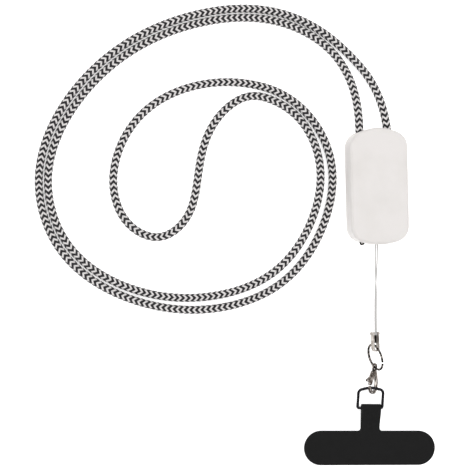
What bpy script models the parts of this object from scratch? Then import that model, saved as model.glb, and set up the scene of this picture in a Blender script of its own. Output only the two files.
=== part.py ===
"""Charging cable lanyard, lying flat: a braided cable loop, its case, and the clasp with its tether.

Metres, +Z up. The origin is the centre of the case's flat back, which lies on the floor z = 0.
+Y runs up the neck loop, -Y runs down through the string, ring and clasp to the tether patch.
"""
import math

import bmesh
import bpy
import numpy as np
from mathutils import Matrix, Vector

MM = 0.001
GAP = 0.3 * MM                  # clearance between neighbouring pieces
MERGE = 0.001 * MM              # welds the caps that a filled curve leaves loose

# Braided cable
CORD_DIAMETER = 4.2 * MM
STRAND_PITCH = 4.5 * MM         # centre to centre where the two strands lie side by side
CORD_BORE_CLEARANCE = 0.3 * MM
CORD_EXIT_LEVEL = 9.0 * MM      # length over which the cable stays level
CORD_EXIT_DROP = 34.0 * MM      # length over which it then comes down to the floor

# Case
CASE_WIDTH = 29.6 * MM
CASE_LENGTH = 58.2 * MM
CASE_THICKNESS = 14.0 * MM
CASE_WALL = 1.8 * MM
CASE_RIM = 1.5 * MM             # rounding of the outer edges
CASE_TOP_ARCH = 24.0 * MM
CASE_BOTTOM_ARCH = 30.0 * MM
CASE_CORNER = 8.0 * MM
CASE_SEAM = 0.3 * MM
BORE_REACH = 9.0 * MM           # half length of a cable bore's cutter
SLOT_REACH = 4.5 * MM           # how far the bottom slots' cutters go in
CASE_TURN = math.radians(1.3)

# Metal tip that pokes out of the case's bottom edge
TIP_WIRE = 1.0 * MM
TIP_WIDTH = 2.6 * MM
TIP_REACH = 1.4 * MM            # length outside the case
TIP_DEPTH = 4.0 * MM            # length from the case's bottom edge to the legs' ends
TIP_X = -8.2 * MM

# String
STRING_DIAMETER = 0.7 * MM
STRING_PITCH = 0.95 * MM
STRING_SAG = 1.2 * MM
STRING_INSERT = 3.2 * MM        # length of string inside the case, from its bottom edge
# In the clamp's frame, where the string ends and the point that it heads for from the case
STRING_END = (-0.15 * MM, -1.7 * MM, 0.5 * MM)
STRING_LEAD = (0.9 * MM, 2.8 * MM, 0.5 * MM)
STRING_X = -0.1 * MM
STRING_TWIST_SHARE = 0.45       # share of the length over which the strands turn round each other

# Folded clamp on the string's end
CLAMP_LENGTH = 9.9 * MM
CLAMP_STRIP = 2.2 * MM
CLAMP_SHEET = 0.4 * MM
CLAMP_LOBE = 1.3 * MM
CLAMP_TOP = (-1.5 * MM, -72.8 * MM, 9.2 * MM)
CLAMP_ROLL = math.radians(33.0)
CLAMP_YAW = math.radians(2.5)
CLAMP_NECK = 1.1               # share of the strip's thickness just below a lobe
CLAMP_BACK = 0.3 * MM          # the plate that closes the slot from behind
CLAMP_BACK_TOP = 1.3 * MM      # how far the plate's ends lie below the clamp's top
CLAMP_BACK_FOOT = 5.65 * MM

# Ring between the clamp and the clasp
RING_DIAMETER = 13.1 * MM       # to the middle of the wire
RING_WIRE = 1.1 * MM
RING_CENTRE = (-0.65 * MM, -85.6 * MM)
RING_TURN = math.radians(16.0)
RING_LEAN = 0.27                # share of a unit step that leans along the floor as the ring rises
RING_SPLIT_AT = math.radians(119.5)
RING_SPLIT = 1.4 * MM

# Clasp, in its own flat frame: across is towards the lever, along is towards the hook
CLASP_EYE_AT = math.radians(217.0)
CLASP_SLACK = 0.02 * MM         # how far the eye's middle hangs past the wire
CLASP_HEADING = (-0.081, -0.988, 0.06)
CLASP_TWIST = math.radians(46.0)
CLASP_BODY = 2.2 * MM           # thickness of the boss that holds the lever
CLASP_ARM = 1.5 * MM
CLASP_EYE = 2.05 * MM
CLASP_EYE_HOLE = 1.38 * MM
CLASP_EYE_THICKNESS = 1.0 * MM
LEVER_THICKNESS = 1.8 * MM
LEVER_TONGUE = 0.55 * MM
LEVER_SLOT = 1.1 * MM
LEVER_PIN = 0.45 * MM
LEVER_HOLE = 0.7 * MM
LEVER_PIVOT = (0.9, 3.0)        # in millimetres
LEVER_ROOT = 0.95               # the lever's half width at its pin, in millimetres
SHOULDER_ROOT = 1.15            # the boss's half width there
CLASP_RIM = 0.25 * MM

# D ring
D_WIRE = 1.4 * MM
D_WIDTH = 14.1 * MM
D_LENGTH = 11.85 * MM
D_CORNER = 2.2 * MM             # of its upper corners
D_FOOT_CORNER = 0.75 * MM       # of the corners beside the stem
D_ARCH = 0.7 * MM
D_TOP = (-2.24 * MM, -100.6 * MM)
D_TOP_HEIGHT = 4.0 * MM         # middle of the upper bar

# Tether patch
PATCH_WIDTH = 67.4 * MM
PATCH_HEIGHT = 17.35 * MM
PATCH_SHEET = 1.0 * MM
PATCH_BODY = 1.2 * MM
STEM_WIDTH = 9.8 * MM
STEM_LENGTH = 13.65 * MM        # from the fold's top to the pill's straight edge
PATCH_OFFSET = 0.55 * MM        # the stem's middle, to the right of the D ring's
STEM_FILLET = 1.3 * MM
PATCH_EDGE = 0.15 * MM          # rounding of its cut edges
FOLD_CLEARANCE = 0.3 * MM
FOLD_LAP = 0.02 * MM            # how far the fold's solid stays above the patch's underside
FOLD_LAND = 0.9                 # share of the patch's thickness at which the fold's ramp ends
TETHER_TURN = math.radians(-0.9)

# The cable's route, in millimetres: two strands that leave the case
FIRST_EXIT = [(-8.7, 24.0), (-9.4, 36.0), (-13.2, 54.0)]
SECOND_EXIT = [(5.9, 24.5), (3.9, 36.0), (-3.8, 55.5)]
# then lie side by side round the neck loop, as middle x, middle y and extra room between them
NECK_PAIR = [
    (-16.7, 65.9, 1.1), (-28.3, 75.8, 0.0), (-52.0, 85.2, 0.0), (-88.0, 83.6, 0.0),
    (-122.5, 69.5, 0.0), (-150.5, 43.7, 0.0), (-166.1, 4.0, 0.0), (-156.0, -30.3, 0.0),
    (-122.0, -53.8, 0.5), (-81.8, -57.8, 1.8), (-48.8, -45.0, 2.2), (-28.5, -16.0, 1.9),
    (-25.3, 12.0, 1.4), (-39.0, 37.6, 0.1), (-50.6, 45.0, 0.3),
]
# and open into the hanging bight in the middle
BIGHT = [
    (-63.0, 45.0), (-75.6, 38.5), (-86.2, 21.8), (-90.2, 1.4), (-95.3, -15.5), (-108.8, -25.3),
    (-122.6, -20.4), (-131.4, -3.3), (-129.6, 16.0), (-116.5, 36.6), (-93.0, 49.3), (-65.5, 51.3),
]


def clear_scene():
    """Removes every object that the file holds."""
    for item in list(bpy.data.objects):
        bpy.data.objects.remove(item, do_unlink=True)


def collection(name):
    """Adds a collection to the scene."""
    made = bpy.data.collections.new(name)
    bpy.context.scene.collection.children.link(made)
    return made


def material(name, colour, roughness, metallic=0.0):
    """Makes a Principled material."""
    made = bpy.data.materials.new(name)
    made.use_nodes = True
    shader = made.node_tree.nodes["Principled BSDF"]
    shader.inputs["Base Color"].default_value = (*colour, 1.0)
    shader.inputs["Roughness"].default_value = roughness
    shader.inputs["Metallic"].default_value = metallic
    return made


def smooth_rows(rows, steps):
    """Reads `steps` points a span from the smooth cubic through all the rows, column by column."""
    rows = np.array(rows, dtype=float)
    spans = np.linalg.norm(np.diff(rows[:, :2], axis=0), axis=1)
    count = len(rows)
    system = np.zeros((count, count))
    system[0, 0] = 1.0
    system[-1, -1] = 1.0
    target = np.zeros_like(rows)
    slopes = np.diff(rows, axis=0) / spans[:, None]
    for i in range(1, count - 1):
        system[i, i - 1] = spans[i - 1]
        system[i, i] = 2.0 * (spans[i - 1] + spans[i])
        system[i, i + 1] = spans[i]
        target[i] = 6.0 * (slopes[i] - slopes[i - 1])
    bend = np.linalg.solve(system, target)
    points = [rows[0]]
    for i, span in enumerate(spans):
        for step in range(1, steps + 1):
            share = step / steps
            rest = 1.0 - share
            curve = (share ** 3 - share) * bend[i + 1] + (rest ** 3 - rest) * bend[i]
            points.append(rest * rows[i] + share * rows[i + 1] + curve * span ** 2 / 6.0)
    return np.array(points)


def arc(centre, radius, start, end, steps):
    """Points of a circular arc, angles in radians."""
    angles = np.linspace(start, end, steps + 1)
    return [(centre[0] + radius * math.cos(a), centre[1] + radius * math.sin(a)) for a in angles]


def to_mesh(curve_object):
    """Turns a curve object into a welded mesh object of the same name and place."""
    graph = bpy.context.evaluated_depsgraph_get()
    mesh = bpy.data.meshes.new_from_object(curve_object.evaluated_get(graph))
    shape = bmesh.new()
    shape.from_mesh(mesh)
    bmesh.ops.remove_doubles(shape, verts=shape.verts, dist=MERGE)
    bmesh.ops.recalc_face_normals(shape, faces=shape.faces)
    shape.to_mesh(mesh)
    shape.free()
    name = curve_object.name
    home = curve_object.users_collection[0]
    place = curve_object.matrix_world.copy()
    bpy.data.objects.remove(curve_object, do_unlink=True)
    made = bpy.data.objects.new(name, mesh)
    home.objects.link(made)
    made.matrix_world = place
    return made


def plate(name, outlines, thickness, home, rim=0.0, place=None):
    """A flat plate round z = 0 of its own frame; later outlines are holes in the first."""
    data = bpy.data.curves.new(name, "CURVE")
    data.dimensions = "2D"
    data.fill_mode = "BOTH"
    data.extrude = thickness / 2.0 - rim
    data.bevel_depth = rim
    data.bevel_resolution = 2
    data.offset = -rim
    data.render_resolution_u = 0
    for outline in outlines:
        spline = data.splines.new("POLY")
        spline.points.add(len(outline) - 1)
        for point, (x, y) in zip(spline.points, outline):
            point.co = (x, y, 0.0, 1.0)
        spline.use_cyclic_u = True
    made = bpy.data.objects.new(name, data)
    home.objects.link(made)
    if place is not None:
        made.matrix_world = place
    bpy.context.view_layer.update()
    return to_mesh(made)


def tube(name, points, diameter, home, rounding, closed=False):
    """A round tube along the points, with filled ends unless it is closed."""
    data = bpy.data.curves.new(name, "CURVE")
    data.dimensions = "3D"
    data.bevel_depth = diameter / 2.0
    data.bevel_resolution = rounding
    data.use_fill_caps = not closed
    data.render_resolution_u = 0
    spline = data.splines.new("POLY")
    spline.points.add(len(points) - 1)
    for point, place in zip(spline.points, points):
        point.co = (*place, 1.0)
    spline.use_cyclic_u = closed
    made = bpy.data.objects.new(name, data)
    home.objects.link(made)
    bpy.context.view_layer.update()
    return to_mesh(made)


def cylinder(name, radius, depth, place, home, sides=24):
    """A cylinder round z = 0 of its own frame."""
    mesh = bpy.data.meshes.new(name)
    shape = bmesh.new()
    bmesh.ops.create_cone(shape, cap_ends=True, segments=sides, radius1=radius, radius2=radius, depth=depth)
    shape.to_mesh(mesh)
    shape.free()
    made = bpy.data.objects.new(name, mesh)
    home.objects.link(made)
    made.matrix_world = place
    return made


def box(name, low, high, home, place=None):
    """A box between two corners, given in the frame of `place`."""
    low = Vector(low)
    high = Vector(high)
    mesh = bpy.data.meshes.new(name)
    shape = bmesh.new()
    bmesh.ops.create_cube(shape, size=1.0)
    bmesh.ops.scale(shape, verts=shape.verts, vec=high - low)
    bmesh.ops.translate(shape, verts=shape.verts, vec=(high + low) / 2.0)
    shape.to_mesh(mesh)
    shape.free()
    made = bpy.data.objects.new(name, mesh)
    home.objects.link(made)
    if place is not None:
        made.matrix_world = place
    return made


def guide(item):
    """Marks an object as a cutter or guide, which isn't part of the model."""
    item.hide_render = True
    item.display_type = "WIRE"
    return item


def combine(item, tool, operation):
    """Adds a Boolean modifier with an exact solver."""
    step = item.modifiers.new(f"{operation.lower()} {tool.name}", "BOOLEAN")
    step.operation = operation
    step.solver = "EXACT"
    step.object = tool


def finish(item, look, smooth_under=40.0):
    """Gives a finished piece its material and its shading."""
    item.data.materials.clear()
    item.data.materials.append(look)
    item.data.shade_smooth()
    item.data.set_sharp_from_angle(angle=math.radians(smooth_under))
    return item


def ribbon(rows, steps, cap_steps=6):
    """Outline of a flat strip along rows of (x, y, half width), with round ends."""
    path = smooth_rows(rows, steps)
    ahead = np.gradient(path[:, :2], axis=0)
    ahead /= np.linalg.norm(ahead, axis=1)[:, None]
    side = np.stack([-ahead[:, 1], ahead[:, 0]], axis=1)
    left = path[:, :2] + side * path[:, 2:3]
    right = path[:, :2] - side * path[:, 2:3]
    end_turn = math.atan2(ahead[-1, 1], ahead[-1, 0])
    start_turn = math.atan2(ahead[0, 1], ahead[0, 0])
    quarter = math.pi / 2.0
    end_cap = arc(path[-1, :2], path[-1, 2], end_turn - quarter, end_turn + quarter, cap_steps)
    start_cap = arc(path[0, :2], path[0, 2], start_turn + quarter, start_turn + 3.0 * quarter, cap_steps)
    outline = [tuple(p) for p in right[:-1]] + end_cap
    return outline + [tuple(p) for p in left[-2:0:-1]] + start_cap[:-1]


def pair_strand(side):
    """One strand of the neck loop: +1 is the inner strand, -1 the outer one."""
    steps = 8
    fine = smooth_rows([row[:2] for row in NECK_PAIR], steps)
    middle = fine[::steps]
    ahead = np.gradient(fine, axis=0)[::steps]
    ahead /= np.linalg.norm(ahead, axis=1)[:, None]
    across = np.stack([-ahead[:, 1], ahead[:, 0]], axis=1)
    pitch = STRAND_PITCH / MM + np.array([row[2] for row in NECK_PAIR])
    return middle + side * across * pitch[:, None] / 2.0


def cord_route():
    """Points of the whole cable, from the case round the loop and the bight and back."""
    rows = [*FIRST_EXIT, *pair_strand(1), *BIGHT, *pair_strand(-1)[::-1], *SECOND_EXIT[::-1]]
    flat = smooth_rows(rows, 2) * MM
    reach = np.concatenate([[0.0], np.cumsum(np.linalg.norm(np.diff(flat, axis=0), axis=1))])
    near_end = np.minimum(reach, reach[-1] - reach)
    share = np.clip((near_end - CORD_EXIT_LEVEL) / CORD_EXIT_DROP, 0.0, 1.0)
    fall = share * share * (3.0 - 2.0 * share)
    floor = CORD_DIAMETER / 2.0
    height = CASE_THICKNESS / 2.0 * (1.0 - fall) + floor * fall
    return np.column_stack([flat, height])


def case_outline(inset):
    """Outline of the case, drawn in by `inset`: straight sides, arched ends and round corners."""
    half = CASE_WIDTH / 2.0 - inset
    corner = CASE_CORNER - inset
    outline = []
    for sign, arch in ((1.0, CASE_TOP_ARCH - inset), (-1.0, CASE_BOTTOM_ARCH - inset)):
        end = CASE_LENGTH / 2.0 - inset
        middle = end - arch
        reach = half - corner
        rise = math.sqrt((arch - corner) ** 2 - reach ** 2)
        meet = math.atan2(rise, reach)
        right = arc((reach, middle + rise), corner, 0.0, meet, 5)
        crown = arc((0.0, middle), arch, meet, math.pi - meet, 14)
        left = arc((-reach, middle + rise), corner, math.pi - meet, math.pi, 5)
        end_points = right + crown[1:-1] + left
        if sign < 0.0:
            end_points = [(-x, -y) for x, y in end_points]
        outline += end_points
    return outline


def case_edge(x, sign):
    """Height along y of the case's outer edge at x, at its top (+1) or bottom (-1)."""
    arch = CASE_TOP_ARCH if sign > 0.0 else CASE_BOTTOM_ARCH
    return sign * (CASE_LENGTH / 2.0 - arch + math.sqrt(arch ** 2 - x ** 2))


def build_case(home, cutters, look):
    """Two hollow shells that meet at the seam, cut for the cable, the string and the tip."""
    turn = Matrix.Rotation(CASE_TURN, 4, "Z")
    middle = CASE_THICKNESS / 2.0
    lift = turn @ Matrix.Translation((0.0, 0.0, middle))
    room = CASE_LENGTH
    hollow = guide(plate("case_hollow", [case_outline(CASE_WALL)], CASE_THICKNESS - 2.0 * CASE_WALL,
                         cutters, place=lift))
    bores = []
    bore = CORD_DIAMETER / 2.0 + CORD_BORE_CLEARANCE
    for number, ends in enumerate((FIRST_EXIT, SECOND_EXIT)):
        start = Vector((*ends[0], 0.0)) * MM
        ahead = Vector((*ends[1], 0.0)) * MM - start
        place = Matrix.Translation(start + Vector((0.0, 0.0, middle)))
        place = place @ ahead.to_track_quat("Z", "Y").to_matrix().to_4x4()
        bores.append(guide(cylinder(f"cord_bore_{number}", bore, BORE_REACH * 2.0, place, cutters)))
    string_half = STRING_PITCH / 2.0 + STRING_DIAMETER / 2.0 + GAP
    bottom = -CASE_LENGTH / 2.0
    bores.append(guide(box(
        "string_slot",
        (STRING_X - string_half, bottom - CASE_WALL, middle - STRING_DIAMETER / 2.0 - GAP),
        (STRING_X + string_half, bottom + SLOT_REACH, middle + STRING_DIAMETER / 2.0 + GAP),
        cutters)))
    tip_half = TIP_WIDTH / 2.0 + GAP
    bores.append(guide(box(
        "tip_slot",
        (TIP_X - tip_half, bottom - CASE_WALL, middle - TIP_WIRE / 2.0 - GAP),
        (TIP_X + tip_half, bottom + SLOT_REACH, middle + TIP_WIRE / 2.0 + GAP),
        cutters, turn)))
    seam = CASE_SEAM / 2.0
    halves = {
        "case_back_shell": (middle - seam, CASE_THICKNESS * 2.0),
        "case_front_shell": (-CASE_THICKNESS, middle + seam),
    }
    for name, (low, high) in halves.items():
        shell = plate(name, [case_outline(0.0)], CASE_THICKNESS, home, CASE_RIM, lift)
        other = guide(box(f"{name}_trim", (-room, -room, low), (room, room, high), cutters))
        for tool in (other, hollow, *bores):
            combine(shell, tool, "DIFFERENCE")
        finish(shell, look)


def build_tip(home, look):
    """A U of wire whose legs go into the case's bottom slot."""
    turn = Matrix.Rotation(CASE_TURN, 3, "Z")
    middle = CASE_THICKNESS / 2.0
    edge = case_edge(TIP_X, -1.0)
    half = (TIP_WIDTH - TIP_WIRE) / 2.0
    bend = edge - TIP_REACH + TIP_WIRE / 2.0 + half
    path = [(TIP_X - half, edge + TIP_DEPTH)]
    path += arc((TIP_X, bend), half, math.pi, 2.0 * math.pi, 8)
    path += [(TIP_X + half, edge + TIP_DEPTH)]
    points = [turn @ Vector((x, y, middle)) for x, y in path]
    finish(tube("case_metal_tip", points, TIP_WIRE, home, 2), look)


def clamp_frame():
    """The clamp's own frame: x across its legs, y up towards the string, z through its slot."""
    place = Matrix.Translation(CLAMP_TOP)
    return place @ Matrix.Rotation(CLAMP_YAW, 4, "Z") @ Matrix.Rotation(CLAMP_ROLL, 4, "Y")


def string_points(side):
    """One strand of the doubled string, twisted half a turn round the other."""
    middle = CASE_THICKNESS / 2.0
    start = Vector((STRING_X, -CASE_LENGTH / 2.0 + STRING_INSERT, middle))
    end = clamp_frame() @ Vector(STRING_END)
    lead = clamp_frame() @ Vector(STRING_LEAD)
    points = []
    count = 24
    for step in range(count + 1):
        share = step / count
        rest = 1.0 - share
        axis = start * rest ** 2 + lead * 2.0 * share * rest + end * share ** 2
        eased = share * share * (3.0 - 2.0 * share)
        axis.z = start.z * (1.0 - eased) + end.z * eased - STRING_SAG * math.sin(math.pi * share) ** 2
        turned = min(share / STRING_TWIST_SHARE, 1.0)
        angle = turned * turned * (3.0 - 2.0 * turned) * (math.pi - CLAMP_ROLL)
        offset = Vector((math.cos(angle), 0.0, math.sin(angle))) * side * STRING_PITCH / 2.0
        points.append(axis + offset)
    return points


def build_clamp(home, cutters, look):
    """A strip folded into a U, with rolled ends that close on the string and a plate behind."""
    lobe = CLAMP_LOBE / 2.0 / MM
    sheet = CLAMP_SHEET / 2.0 / MM
    grip = (STRING_PITCH / 2.0 + STRING_DIAMETER / 2.0 + GAP) / MM
    leg = grip + lobe
    length = CLAMP_LENGTH / MM
    side = [(leg, -lobe, lobe), (leg, -1.6 * lobe, lobe * 0.9), (leg, -3.4 * lobe, sheet * CLAMP_NECK),
            (leg, -4.5 * lobe, sheet), (leg, -5.5 * lobe, sheet), (leg, -0.6 * length, sheet),
            (leg, leg + sheet - length, sheet)]
    turn = [(leg * math.cos(a), leg + sheet - length - leg * math.sin(a), sheet)
            for a in np.linspace(0.0, math.pi, 7)[1:-1]]
    rows = side + turn + [(-x, y, half) for x, y, half in side[::-1]]
    outline = [(x * MM, y * MM) for x, y in ribbon(rows, 3)]
    clamp = plate("string_clamp", [outline], CLAMP_STRIP, home, 0.0, clamp_frame())
    behind = -CLAMP_STRIP / 2.0
    back = guide(box("clamp_back", (-leg * MM, -CLAMP_BACK_FOOT, behind),
                     (leg * MM, -CLAMP_BACK_TOP, behind + CLAMP_BACK), cutters, clamp_frame()))
    combine(clamp, back, "UNION")
    finish(clamp, look)


def ring_axes():
    """Unit steps along the ring's level diameter and up its leaning one."""
    level = Vector((-math.sin(RING_TURN), math.cos(RING_TURN), 0.0))
    beside = Vector((math.cos(RING_TURN), math.sin(RING_TURN), 0.0))
    rise = beside * RING_LEAN + Vector((0.0, 0.0, math.sqrt(1.0 - RING_LEAN ** 2)))
    return level, rise


def ring_point(angle):
    """A point on the middle of the ring's wire. The ring stands on the floor."""
    level, rise = ring_axes()
    height = RING_DIAMETER / 2.0 * rise.z + RING_WIRE / 2.0
    centre = Vector((*RING_CENTRE, height))
    return centre + (level * math.cos(angle) + rise * math.sin(angle)) * RING_DIAMETER / 2.0


def build_ring(home, look):
    """An open wire ring, with its split on the side that the photograph shows."""
    half = RING_SPLIT / RING_DIAMETER
    angles = np.linspace(RING_SPLIT_AT + half, RING_SPLIT_AT + 2.0 * math.pi - half, 49)
    finish(tube("jump_ring", [ring_point(a) for a in angles], RING_WIRE, home, 2), look)


def clasp_frame():
    """The clasp's own frame: x towards the lever, y towards the hook, origin at the eye."""
    along = Vector(CLASP_HEADING).normalized()
    across = Vector((-math.cos(CLASP_TWIST), 0.0, math.sin(CLASP_TWIST)))
    across = (across - along * across.dot(along)).normalized()
    through = across.cross(along)
    turn = Matrix((across, along, through)).transposed().to_4x4()
    return Matrix.Translation(ring_point(CLASP_EYE_AT) + along * CLASP_SLACK) @ turn


# Middle line and half width of the clasp's arm and of its lever, in millimetres
ARM_ROWS = [(0.0, 1.2, 0.9), (-0.25, 2.2, 1.15), (-1.2, 3.8, 1.0), (-2.1, 6.0, 0.8), (-2.5, 8.4, 0.75),
            (-2.3, 10.7, 0.75), (-1.4, 12.2, 0.75), (0.5, 12.75, 0.75), (2.5, 12.0, 0.75), (3.4, 10.2, 0.65)]
SHOULDER_ROWS = [(0.0, 2.2, 0.9), (0.45, 2.6, 1.0), (*LEVER_PIVOT, SHOULDER_ROOT)]
LEVER_ROWS = [(*LEVER_PIVOT, LEVER_ROOT), (1.75, 4.3, 1.25), (2.5, 5.8, 1.3), (3.0, 7.3, 1.05),
              (3.25, 8.6, 0.6)]
NUB_ROWS = [(3.3, 5.8, 0.95), (4.7, 6.4, 0.85), (5.85, 6.75, 0.7)]


def clasp_outline(rows):
    """Outline of one clasp part in metres."""
    return [(x * MM, y * MM) for x, y in ribbon(rows, 3)]


def build_clasp(home, cutters, body_look, lever_look):
    """The cast body with its eye, and the sprung lever on its pin."""
    place = clasp_frame()
    pivot = place @ Matrix.Translation((LEVER_PIVOT[0] * MM, LEVER_PIVOT[1] * MM, 0.0))
    body = plate("clasp_body", [clasp_outline(ARM_ROWS)], CLASP_ARM, home, CLASP_RIM, place)
    shoulder = guide(plate("clasp_shoulder", [clasp_outline(SHOULDER_ROWS)], CLASP_BODY, cutters,
                           CLASP_RIM, place))
    eye = guide(cylinder("clasp_eye", CLASP_EYE, CLASP_EYE_THICKNESS, place, cutters, 32))
    hole = guide(cylinder("clasp_eye_hole", CLASP_EYE_HOLE, CLASP_BODY * 2.0, place, cutters, 24))
    reach = LEVER_ROOT * MM + GAP
    slot = guide(cylinder("lever_slot", reach, LEVER_SLOT, pivot, cutters, 32))
    sweep = guide(plate("lever_sweep", [clasp_outline(LEVER_ROWS[:3])], LEVER_SLOT,
                        cutters, 0.0, place))
    pin = guide(cylinder("lever_pin", LEVER_PIN, CLASP_BODY, pivot, cutters, 16))
    combine(body, shoulder, "UNION")
    combine(body, eye, "UNION")
    combine(body, hole, "DIFFERENCE")
    combine(body, slot, "DIFFERENCE")
    combine(body, sweep, "DIFFERENCE")
    combine(body, pin, "UNION")
    finish(body, body_look)

    lever = plate("clasp_lever", [clasp_outline(LEVER_ROWS)], LEVER_THICKNESS, home, CLASP_RIM, place)
    nub = guide(plate("lever_nub", [clasp_outline(NUB_ROWS)], LEVER_THICKNESS, cutters, CLASP_RIM, place))
    combine(lever, nub, "UNION")
    cheek = CLASP_BODY / 2.0
    clear = SHOULDER_ROOT * MM + GAP
    for number, sign in enumerate((1.0, -1.0)):
        middle = sign * (LEVER_TONGUE / 2.0 + cheek / 2.0)
        relief = pivot @ Matrix.Translation((0.0, 0.0, middle))
        combine(lever, guide(cylinder(f"lever_relief_{number}", clear, cheek, relief, cutters, 32)),
                "DIFFERENCE")
    bore = guide(cylinder("lever_bore", LEVER_HOLE, CLASP_BODY * 2.0, pivot, cutters, 16))
    combine(lever, bore, "DIFFERENCE")
    finish(lever, lever_look)


def tether_frame():
    """Frame of the D ring and the patch: origin under the top of the D ring."""
    return Matrix.Translation((*D_TOP, 0.0)) @ Matrix.Rotation(TETHER_TURN, 4, "Z")


def bar_height():
    """Height of the D ring's straight bar, which lies in the patch's fold."""
    return PATCH_SHEET + FOLD_CLEARANCE + D_WIRE / 2.0


def build_d_ring(home, look):
    """A wire D ring, arched at its top, that leans up from the fold to the clasp."""
    half = (D_WIDTH - D_WIRE) / 2.0
    length = D_LENGTH - D_WIRE
    reach = half - D_CORNER
    foot = half - D_FOOT_CORNER
    low = bar_height()
    rise = D_TOP_HEIGHT - low
    run = math.sqrt(length ** 2 - rise ** 2)
    path = arc((foot, D_FOOT_CORNER), D_FOOT_CORNER, -math.pi / 2.0, 0.0, 5)
    path += arc((reach, length - D_ARCH - D_CORNER), D_CORNER, 0.0, math.pi / 2.0, 5)
    path += [(x, length - D_ARCH * (x / reach) ** 2) for x in np.linspace(reach, -reach, 9)[1:-1]]
    path += arc((-reach, length - D_ARCH - D_CORNER), D_CORNER, math.pi / 2.0, math.pi, 5)
    path += arc((-foot, D_FOOT_CORNER), D_FOOT_CORNER, math.pi, 1.5 * math.pi, 5)
    place = tether_frame()
    top = -D_WIRE / 2.0
    points = []
    for x, along in path:
        share = along / length
        points.append(place @ Vector((x, top - run * (1.0 - share), low + rise * share)))
    finish(tube("d_ring", points, D_WIRE, home, 2, closed=True), look)
    return top - run


def build_patch(home, cutters, look, bar_y):
    """The T-shaped patch: a flat pill whose stem folds round the D ring's bar."""
    place = tether_frame() @ Matrix.Translation((PATCH_OFFSET, 0.0, 0.0))
    outer = D_WIRE / 2.0 + FOLD_CLEARANCE + PATCH_SHEET
    fold_top = bar_y + outer
    edge = fold_top - STEM_LENGTH
    radius = PATCH_HEIGHT / 2.0
    middle = edge - radius
    reach = PATCH_WIDTH / 2.0 - radius
    stem = STEM_WIDTH / 2.0
    outline = arc((reach, middle), radius, -math.pi / 2.0, math.pi / 2.0, 16)
    outline += arc((stem + STEM_FILLET, edge + STEM_FILLET), STEM_FILLET, 1.5 * math.pi, math.pi, 5)
    outline += [(stem, bar_y), (-stem, bar_y)]
    outline += arc((-stem - STEM_FILLET, edge + STEM_FILLET), STEM_FILLET, 0.0, -math.pi / 2.0, 5)
    outline += arc((-reach, middle), radius, math.pi / 2.0, 1.5 * math.pi, 16)
    lift = place @ Matrix.Translation((0.0, 0.0, PATCH_BODY / 2.0))
    patch = plate("tether_patch", [outline], PATCH_BODY, home, PATCH_EDGE, lift)
    # side view of the fold, drawn with x as world y and y as height
    low = bar_height()
    land = edge + STEM_FILLET
    profile = [(land, FOLD_LAP), (bar_y, FOLD_LAP)]
    profile += arc((bar_y, low), outer, -math.pi / 2.0, math.pi / 2.0, 12)[1:]
    ramp = [(share, 0.5 - 0.5 * math.cos(math.pi * share)) for share in np.linspace(0.0, 1.0, 9)[1:]]
    peak = low + outer
    profile += [(bar_y + (land - bar_y) * s, peak + (PATCH_BODY * FOLD_LAND - peak) * f) for s, f in ramp]
    upright = Matrix(((0.0, 0.0, 1.0), (1.0, 0.0, 0.0), (0.0, 1.0, 0.0))).to_4x4()
    fold = guide(plate("patch_fold", [profile], STEM_WIDTH, cutters, 0.0, place @ upright))
    bore = place @ Matrix.Translation((0.0, bar_y, low)) @ Matrix.Rotation(math.pi / 2.0, 4, "Y")
    tunnel = guide(cylinder("fold_tunnel", D_WIRE / 2.0 + FOLD_CLEARANCE, STEM_WIDTH * 1.5, bore, cutters))
    combine(patch, fold, "UNION")
    combine(patch, tunnel, "DIFFERENCE")
    finish(patch, look)


def main():
    """Builds every piece."""
    clear_scene()
    home = collection("charging_cable_lanyard")
    cutters = collection("cutters")
    white = material("white_abs", (0.84, 0.82, 0.80), 0.45)
    braid = material("braided_cable", (0.22, 0.22, 0.22), 0.75)
    string = material("white_string", (0.72, 0.72, 0.70), 0.7)
    nickel = material("nickel_plate", (0.70, 0.69, 0.67), 0.25, 1.0)
    dark = material("black_nickel", (0.05, 0.05, 0.055), 0.3, 1.0)
    fabric = material("black_fabric", (0.018, 0.018, 0.018), 0.8)
    route = cord_route()
    finish(tube("neck_cord", route, CORD_DIAMETER, home, 3), braid)
    build_case(home, cutters, white)
    build_tip(home, nickel)
    for name, side in (("string_left", -1.0), ("string_right", 1.0)):
        finish(tube(name, string_points(side), STRING_DIAMETER, home, 2), string)
    build_clamp(home, cutters, nickel)
    build_ring(home, nickel)
    build_clasp(home, cutters, nickel, nickel)
    bar_y = build_d_ring(home, dark)
    build_patch(home, cutters, fabric, bar_y)


main()
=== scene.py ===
"""Looks of a charging cable lanyard that lies flat: braided neck cable, white case, clasp and tether.

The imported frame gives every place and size. Each class below builds one sub-assembly over its
frame nodes, in metres, and gives it the finish that the real piece has.
"""
import logging
import math
from collections.abc import Callable, Sequence
from dataclasses import dataclass
from enum import Enum

import bmesh
import bpy
import numpy as np
from bpy.types import ID, Material, Node, NodeSocket, NodeTree, Object
from mathutils import Matrix, Vector


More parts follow.
